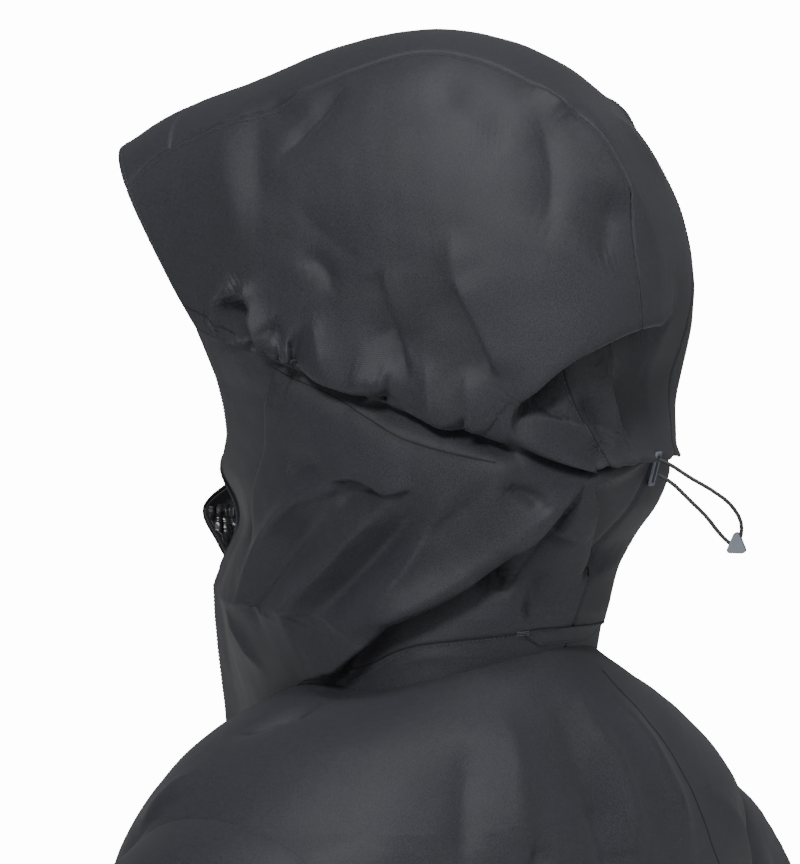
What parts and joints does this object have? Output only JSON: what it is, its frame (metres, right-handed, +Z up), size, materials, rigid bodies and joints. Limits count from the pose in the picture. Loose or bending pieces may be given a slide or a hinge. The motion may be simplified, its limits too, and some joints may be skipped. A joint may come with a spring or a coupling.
{
  "type": "hardshell jacket",
  "caption": "Hooded waterproof shell jacket in worn shape, with a stiff brim, gathered hood sides, rear cord adjuster, zipped front, hand pockets and cuffs with straps.",
  "frame": {"origin": "centre of the neck opening, level with the back neck seam", "axes": "+Z up along the wearer's spine, -Y to the wearer's front, +X to the wearer's left"},
  "size_m": [0.774, 0.3931, 1.1356],
  "materials": {
    "shell_fabric": "plain woven laminated shell cloth, matt",
    "lining_fabric": "smooth inner backer cloth",
    "zip_tape": "coated water-resistant zip tape and coil",
    "dark_plastic": "moulded",
    "tab_rubber": "moulded strap",
    "dark_metal": "satin black",
    "grey_plastic": "moulded, light grey",
    "cord_fabric": "braided elastic cord"
  },
  "bodies": {
    "jacket": {"front_left": "shell_fabric", "front_right": "shell_fabric", "back_panel": "shell_fabric", "hem_facing": "lining_fabric", "collar_left": "shell_fabric", "collar_right": "shell_fabric", "inner_placket": "lining_fabric", "zip_tape_left": "zip_tape", "zip_tape_right": "zip_tape", "zip_box": "dark_plastic", "neck_tab": "shell_fabric", "hanger_loop": "lining_fabric", "pocket_bag_left": "lining_fabric", "pocket_bag_right": "lining_fabric", "pocket_zip_left": "zip_tape", "pocket_zip_right": "zip_tape"},
    "hood": {"hood_brim": "shell_fabric", "brim_stiffener": "dark_plastic", "hood_center": "shell_fabric", "hood_side_left": "shell_fabric", "hood_side_right": "shell_fabric", "hood_cheek_left": "shell_fabric", "hood_cheek_right": "shell_fabric", "face_facing": "lining_fabric", "chin_zip_left": "zip_tape", "chin_zip_right": "zip_tape", "gather_cord_left": "cord_fabric", "gather_cord_right": "cord_fabric", "adjuster_binding": "grey_plastic", "adjuster_lock": "dark_plastic", "adjuster_cord": "cord_fabric", "cord_end": "grey_plastic"},
    "adjuster_button": {"adjuster_button": "grey_plastic"},
    "left_upper_sleeve": {"sleeve_upper_left": "shell_fabric"},
    "right_upper_sleeve": {"sleeve_upper_right": "shell_fabric"},
    "left_forearm": {"sleeve_lower_left": "shell_fabric", "cuff_left": "shell_fabric"},
    "right_forearm": {"sleeve_lower_right": "shell_fabric", "cuff_right": "shell_fabric"},
    "left_cuff_tab": {"cuff_tab_left": "tab_rubber"},
    "right_cuff_tab": {"cuff_tab_right": "tab_rubber"},
    "zip_slider": {"zip_slider": "dark_metal"},
    "zip_pull": {"zip_pull": "dark_metal", "zip_pull_cord": "cord_fabric"},
    "left_pocket_slider": {"pocket_slider_left": "dark_metal"},
    "right_pocket_slider": {"pocket_slider_right": "dark_metal"}
  },
  "joints": [
    {"name": "hood_turn", "type": "hinge", "parent": "jacket", "child": "hood", "pos_m": [0, 0, 0.02], "axis": [0, 0, 1], "range_deg": [-36, 20]},
    {"name": "hood_cord_release", "type": "slide", "parent": "hood", "child": "adjuster_button", "axis": [0.0667, -0.2326, -0.9703], "range_m": [0, 0.003], "stiffness_N_per_m": 200},
    {"name": "left_shoulder", "type": "hinge", "parent": "jacket", "child": "left_upper_sleeve", "pos_m": [0.2045, 0, -0.0895], "axis": [0, -1, 0], "range_deg": [0, 35]},
    {"name": "right_shoulder", "type": "hinge", "parent": "jacket", "child": "right_upper_sleeve", "pos_m": [-0.2045, 0, -0.0895], "axis": [0, 1, 0], "range_deg": [0, 35]},
    {"name": "left_elbow", "type": "hinge", "parent": "left_upper_sleeve", "child": "left_forearm", "pos_m": [0.3151, -0.0757, -0.3969], "axis": [-0.9922, 0, -0.1246], "range_deg": [0, 45]},
    {"name": "right_elbow", "type": "hinge", "parent": "right_upper_sleeve", "child": "right_forearm", "pos_m": [-0.3151, -0.0757, -0.3969], "axis": [-0.9922, 0, 0.1246], "range_deg": [0, 45]},
    {"name": "left_cuff_strap", "type": "hinge", "parent": "left_forearm", "child": "left_cuff_tab", "pos_m": [0.36045, -0.0229, -0.63691], "axis": [0.033, 0.3822, 0.9235], "range_deg": [0, 110]},
    {"name": "right_cuff_strap", "type": "hinge", "parent": "right_forearm", "child": "right_cuff_tab", "pos_m": [-0.36045, -0.0229, -0.63691], "axis": [0.033, -0.3822, -0.9235], "range_deg": [0, 110]},
    {"name": "front_zip", "type": "slide", "parent": "jacket", "child": "zip_slider", "axis": [0, -0.0499, 0.9988], "range_m": [-0.705, 0.008]},
    {"name": "zip_pull_swing", "type": "hinge", "parent": "zip_slider", "child": "zip_pull", "pos_m": [0, -0.19133, 0.0038], "axis": [-1, 0, 0], "range_deg": [0, 110]},
    {"name": "left_pocket_zip", "type": "slide", "parent": "jacket", "child": "left_pocket_slider", "axis": [-0.0196, -0.043, 0.9989], "range_m": [-0.205, 0]},
    {"name": "right_pocket_zip", "type": "slide", "parent": "jacket", "child": "right_pocket_slider", "axis": [0.0196, -0.043, 0.9989], "range_m": [-0.205, 0]}
  ]
}
